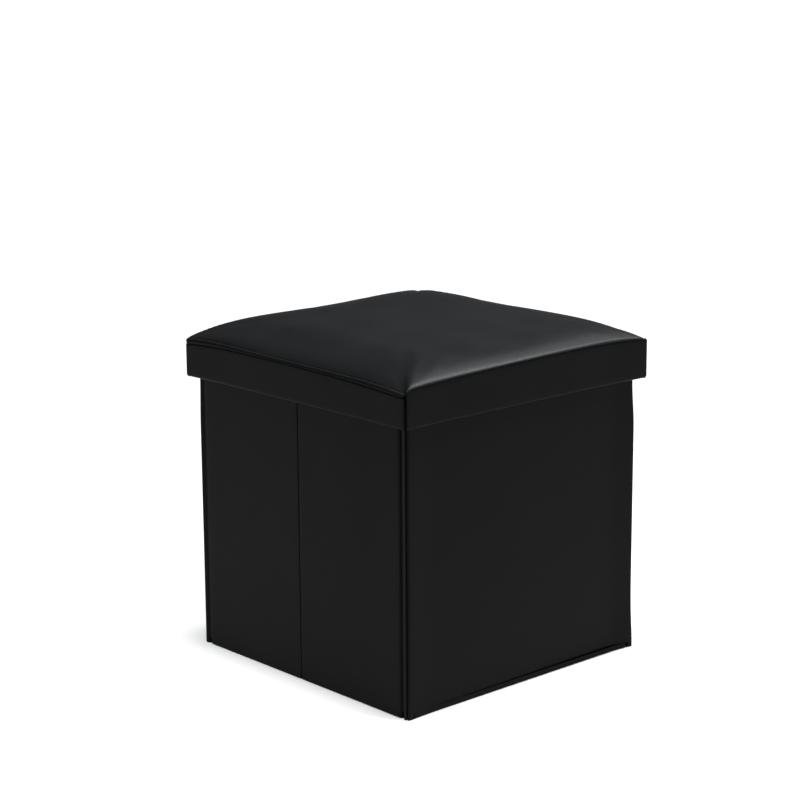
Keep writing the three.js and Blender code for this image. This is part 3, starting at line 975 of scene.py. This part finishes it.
def round_corner(x, y, half, radius):
    """Moves a point of a square so that the square's corners become round."""
    p, q = abs(x) - (half - radius), abs(y) - (half - radius)
    if p <= 0 or q <= 0:
        return x, y
    p2 = p * math.sqrt(1 - q * q / (2 * radius * radius))
    q2 = q * math.sqrt(1 - p * p / (2 * radius * radius))
    return math.copysign(half - radius + p2, x), math.copysign(half - radius + q2, y)


def corner_flare(x, y):
    """How far the lid's corners stand out beyond a square, at a point of its edge."""
    near = SKIRT_FLARE[(1 if x > 0 else -1, 1 if y > 0 else -1)]
    to_edge, to_corner = sorted((CROWN_HALF - abs(x), CROWN_HALF - abs(y)))
    return near * math.exp(-(to_corner / FLARE_REACH) ** 2 - (to_edge / CROWN_EDGE) ** 2)


def crown_points(lines):
    """The crown's surface before it is puffed up: tucked in at its seam and bulging just above it."""
    points = []
    for y in lines:
        for x in lines:
            base = edge_height(x, y)
            z = crown_height(x, y)
            px, py = round_corner(x, y, CROWN_HALF, CROWN_CORNER)
            rise = max(0.0, z - base)
            bulge = BULGE * (rise / BULGE_HEIGHT) * math.exp(1 - rise / BULGE_HEIGHT)
            to_x, to_y = CROWN_HALF - abs(x), CROWN_HALF - abs(y)
            push_x, push_y = math.exp(-to_x / BULGE_REACH), math.exp(-to_y / BULGE_REACH)
            bulge /= max(1.0, math.hypot(push_x, push_y))
            flare = corner_flare(x, y)
            across_x = push_x * bulge + flare * math.exp(-(to_x / CROWN_EDGE) ** 2)
            across_y = push_y * bulge + flare * math.exp(-(to_y / CROWN_EDGE) ** 2)
            points.append((px + math.copysign(across_x, x), py + math.copysign(across_y, y), z + 0.1))
    return np.array(points)


def puff(obj, pinned, reach):
    """Blows the fabric up against its sewn edge with a short cloth simulation, and keeps each point
    within that reach of where it was."""
    rest = np.array([v.co for v in obj.data.vertices])
    group = obj.vertex_groups.new(name="sewn")
    group.add(pinned, 1.0, "REPLACE")
    cloth = obj.modifiers.new("Cloth", "CLOTH")
    settings = cloth.settings
    settings.quality = 6
    settings.mass = 0.25
    settings.tension_stiffness = settings.compression_stiffness = 12
    settings.shear_stiffness = 4
    settings.bending_stiffness = 0.6
    settings.shrink_min = -0.002
    settings.use_pressure = True
    settings.uniform_pressure_force = 4.0
    settings.vertex_group_mass = "sewn"
    settings.effector_weights.gravity = 0.0
    cloth.collision_settings.use_collision = False
    scene = bpy.context.scene
    for number in range(1, 21):
        scene.frame_set(number)
    puffed = bpy.data.meshes.new_from_object(obj.evaluated_get(bpy.context.evaluated_depsgraph_get()))
    moved = np.array([v.co for v in puffed.vertices]) - rest
    obj.modifiers.clear()
    obj.vertex_groups.clear()
    scene.frame_set(1)
    bpy.data.meshes.remove(puffed)
    length = np.linalg.norm(moved, axis=1, keepdims=True)
    limit = reach * MM
    return rest / MM + moved / MM * (limit * np.tanh(length / limit) / np.maximum(length, 1e-12))


def corner_gathers(points, count):
    """Small gathers where the sewn edge turns a corner, and the shallow channel of the topstitching."""
    out = points.copy()
    for k in range(count * count):
        i, j = divmod(k, count)
        i_edge, j_edge = min(i, count - 1 - i), min(j, count - 1 - j)
        x, y = points[k][:2]
        side_x, side_y = math.copysign(1, x), math.copysign(1, y)
        dx, dy = CROWN_HALF - abs(x), CROWN_HALF - abs(y)
        near = math.hypot(dx, dy)
        angle = math.atan2(dy + 1e-6, dx + 1e-6)
        if 0.5 < near < 60 and min(i_edge, j_edge) > 0:
            seed = side_x * 1.7 + side_y * 0.6
            folds = math.sin(angle * 14 + seed) * 0.6 + math.sin(angle * 23 + seed * 3) * 0.4
            out[k, 2] += 0.16 * folds * math.exp(-near / 14) * min(1.0, near / 5)
        if min(i_edge, j_edge) == SEWN_ROW:
            out[k, 0] -= side_x * 0.3 * (j_edge == SEWN_ROW)
            out[k, 1] -= side_y * 0.3 * (i_edge == SEWN_ROW)
            out[k, 2] -= 0.15
    return out


def add_crown():
    """The padded top, puffed up, with a flange tucked in behind its seam and a row of stitches."""
    lines = crown_lines()
    count = len(lines)
    faces = grid_faces(count, count)
    rim = square_loop(count, 0)
    points = crown_points(lines)
    flat = add_mesh("lid_crown", points, faces, (0, 0, 1))
    points = puff(flat, rim, PUFF_REACH)
    bpy.data.objects.remove(flat)
    points = corner_gathers(points, count)
    rows = [rim]
    flange = []
    for inward, down in ((2.0, 1.2), (5.5, 3.0)):
        scale = np.array(((CROWN_HALF - inward) / CROWN_HALF,) * 2 + (1.0,))
        first = count * count + len(flange) * len(rim)
        rows.append(range(first, first + len(rim)))
        flange.append(points[rim] * scale - np.array((0, 0, down)))
    for upper, lower in zip(rows, rows[1:]):
        for j in range(len(rim)):
            n = (j + 1) % len(rim)
            faces.append((upper[j], lower[j], lower[n], upper[n]))
    points = np.vstack([points, *flange])
    crown = add_mesh("lid_crown", points, faces, (0, 0, 1))
    normals = np.array([v.normal for v in crown.data.vertices])
    loop = square_loop(count, SEWN_ROW)
    stitches = add_stitches("lid_top_topstitching", points[loop], normals[loop], sink=0.05)
    finish_piece(stitches, SEWN, "lid", "faux_leather")
    thicken(crown, COVER)
    finish_piece(crown, LEATHER, "lid", "faux_leather", "lid_top_cover", angle=60)


add_crown()

# ---- Inside the lid ---------------------------------------------------------


def add_slab(name, half, radius, low, high, ease):
    """A board with rounded corners and eased edges."""
    levels = [(low, ease), (low + ease, 0), (high - ease, 0), (high, ease)]
    points = [(x, y, z) for z, inset in levels for x, y in rounded_square(half - inset, radius, 6)]
    outline = len(points) // len(levels)
    faces = grid_faces(len(levels), outline, closed=True)
    faces += [tuple(range(outline)), tuple((len(levels) - 1) * outline + j for j in range(outline))]
    obj = add_mesh(name, points, faces)
    face_outward(obj)
    return obj


slab = add_slab("lid_top_board", BOARD_HALF, BOARD_CORNER, board_low[2], board_high[2], 0.8)
finish_piece(slab, BOARD, "lid", "fibreboard", "lid_board")


def add_skirt_board(side):
    """A strip of board inside one side of the skirt, clear of the grooves at the corners."""
    node = f"lid_{'rear' if side == 'back' else side}_skirt_board"
    low, high = node_box(node)
    ease = 0.6
    half = LID_HALF - BOARD_ENDS[side]
    inner, outer = BOARD_DEPTHS
    points = []
    for z, inset in ((low[2], ease), (low[2] + ease, 0.0), (high[2] - ease, 0.0), (high[2], ease)):
        for s, depth in ((-half + inset, inner + inset), (half - inset, inner + inset),
                         (half - inset, outer - inset), (-half + inset, outer - inset)):
            points.append(on_lid(side, s, depth, z))
    faces = grid_faces(4, 4, closed=True) + [(0, 1, 2, 3), (12, 13, 14, 15)]
    obj = add_mesh(f"lid_{side}_skirt_stiffener", points, faces)
    face_outward(obj)
    finish_piece(obj, BOARD, "lid", "fibreboard", node)


for side in BOARD_ENDS:
    add_skirt_board(side)


def add_foam():
    """The foam slab under the crown: flat beneath, following the crown above."""
    half = BOARD_HALF
    lines = [-half, -half + 1.5, -half + 4, -half + 9, -half + 16, -half + 26]
    lines += spread(-half + 36, half - 36, 9) + [-v for v in reversed(lines)]
    size = len(lines)
    points = []
    for y in lines:
        for x in lines:
            px, py = round_corner(x, y, half, BOARD_CORNER)
            top = crown_height(px * CROWN_HALF / half, py * CROWN_HALF / half) - FOAM_COVER
            points.append((px, py, max(FOAM_FOOT + 1.2, top)))
    points += [(*round_corner(x, y, half, BOARD_CORNER), FOAM_FOOT) for y in lines for x in lines]
    quads = grid_faces(size, size)
    faces = quads + [tuple(size * size + k for k in face[::-1]) for face in quads]
    rim = square_loop(size, 0)
    for a, b in zip(rim, rim[1:] + rim[:1]):
        faces.append((a, b, size * size + b, size * size + a))
    obj = add_mesh("lid_foam_pad", points, faces)
    face_outward(obj)
    finish_piece(obj, FOAM, "lid", "padding_foam", "lid_foam")


add_foam()


def add_tray():
    """The lid's lining: a shallow cloth tray, open below, with rounded inner corners."""
    half, foot, top = tray_high[0] - 0.1, tray_low[2], tray_high[2]
    turn = 2.0
    corner_steps = 5

    def ring(inset, z):
        corner = rounded_square(half - inset, turn - inset, corner_steps)
        points = []
        for k, (here, there) in enumerate(zip(corner, corner[1:] + corner[:1])):
            parts = 24 if k % (corner_steps + 1) == corner_steps else 1
            points += [(*point, z) for point in box_path([here, there], parts, closed=False)]
        return points

    rows = [ring(0, z) for z in spread(foot + 0.1, top - turn, 8)]
    rows += [ring(turn * (1 - math.cos(a)), top - turn * (1 - math.sin(a))) for a in arc(0, 80, 5)[1:]]
    columns = len(rows[0])
    points = [p for row in rows for p in row]
    faces = grid_faces(len(rows), columns, closed=True)
    faces.append(tuple((len(rows) - 1) * columns + j for j in range(columns)))
    obj = add_mesh("lid_lining_tray", points, faces, (0, 0, 1))
    face_outward(obj, merge=None)
    if obj.data.polygons[-1].normal.z < 0:
        obj.data.flip_normals()
    thicken(obj, LINING)
    finish_piece(obj, CLOTH, "lid", "lining_cloth", "lid_lining")


add_tray()

# ---- Finishes of the frame's own boards -------------------------------------

for name, node in frame["nodes"].items():
    if not node.hide_render:
        node.data.materials.clear()
        node.data.materials.append(BOARD)

# ---- Floor, light and camera ------------------------------------------------

FLOOR_HALF = 40000
bpy.context.scene.view_settings.view_transform = "Standard"


def add_floor():
    """A plain pale floor that reaches past the horizon."""
    corners = [(x * FLOOR_HALF, y * FLOOR_HALF, 0) for x, y in ((-1, -1), (1, -1), (1, 1), (-1, 1))]
    floor = add_mesh("studio_floor", corners, [(0, 1, 2, 3)], (0, 0, 1))
    paint = Finish("floor_paint", 0.9, 0.0)
    floor.data.materials.append(paint.connect(Base_Color=paint.blend(
        paint.noise(900.0, 2.0), (0.88, 0.88, 0.88, 1), (0.90, 0.90, 0.90, 1))))
    return floor


def add_area(name, place, target, width, height, power, receivers, colour=(1, 1, 1)):
    """A soft box at a place, facing a target, all in metres, that lights the receivers only."""
    light = bpy.data.lights.new(name, "AREA")
    light.shape = "RECTANGLE"
    light.size, light.size_y, light.energy, light.color = width, height, power, colour
    obj = bpy.data.objects.new(name, light)
    obj.location = place
    obj.rotation_euler = (Vector(target) - Vector(place)).to_track_quat("-Z", "Y").to_euler()
    obj.light_linking.receiver_collection = receivers
    bpy.context.scene.collection.objects.link(obj)


floor = add_floor()
world = bpy.data.worlds.new("studio")
world.use_nodes = True
world.node_tree.nodes["Background"].inputs["Color"].default_value = (0.88, 0.93, 1.0, 1)
world.node_tree.nodes["Background"].inputs["Strength"].default_value = 0.14
bpy.context.scene.world = world

crown_only = bpy.data.collections.new("lit_crown")
rest_only = bpy.data.collections.new("lit_rest")
floor_only = bpy.data.collections.new("lit_floor")
floor_only.objects.link(floor)
for obj in bpy.data.objects:
    if obj.type == "MESH" and obj != floor:
        (crown_only if obj.name.startswith(("lid_crown", "lid_top")) else rest_only).objects.link(obj)

sun = bpy.data.lights.new("floor_light", "SUN")
sun.energy = 3.42
sun.angle = math.radians(13)
sun_object = bpy.data.objects.new("floor_light", sun)
sun_object.rotation_euler = (math.radians(2), math.radians(-3), 0)
bpy.context.scene.collection.objects.link(sun_object)
sun_object.light_linking.receiver_collection = floor_only

add_area("floor_pool_light", (0.2, -0.5, 1.6), (0.1, -0.3, 0), 0.5, 0.5, 14, floor_only)
for title, place, width, height, power, receivers in (
        ("key_light", (0.76, -0.84, 1.38), 0.44, 0.34, 52, crown_only),
        ("side_light", (1.20, -0.20, 1.42), 0.5, 0.5, 7, crown_only),
        ("top_light", (0.28, -0.72, 1.68), 0.5, 0.4, 78, crown_only),
        ("back_light", (-0.1, 1.6, 1.80), 1.2, 1.0, 3, crown_only),
        ("overhead_light", (-0.15, -0.55, 2.3), 1.6, 1.4, 60, rest_only)):
    add_area(title, place, (0, 0, 0.36), width, height, power, receivers, (0.92, 0.96, 1.0))

CAMERA_AZIMUTH = -42.35
CAMERA_ELEVATION = 13.06
CAMERA_ROLL = -0.35
CAMERA_DISTANCE = 2583.6
CAMERA_AIM = (-13.25, 12.08, 301.24)
CAMERA_LENS = 99.0225

azimuth, elevation, roll = (math.radians(v) for v in (CAMERA_AZIMUTH, CAMERA_ELEVATION, CAMERA_ROLL))
back = Vector((math.sin(azimuth) * math.cos(elevation), -math.cos(azimuth) * math.cos(elevation),
               math.sin(elevation)))
right = (-back).cross(Vector((0, 0, 1))).normalized()
up = right.cross(-back)
camera_x = right * math.cos(roll) + up * math.sin(roll)
camera_y = -right * math.sin(roll) + up * math.cos(roll)
camera = bpy.data.cameras.new("camera")
camera.lens = CAMERA_LENS
camera.sensor_width = 36
camera.clip_end = 200
camera_object = bpy.data.objects.new("camera", camera)
turn = Matrix((camera_x, camera_y, back)).transposed().to_4x4()
camera_object.matrix_world = Matrix.Translation((Vector(CAMERA_AIM) + back * CAMERA_DISTANCE) * MM) @ turn
bpy.context.scene.collection.objects.link(camera_object)
bpy.context.scene.camera = camera_object
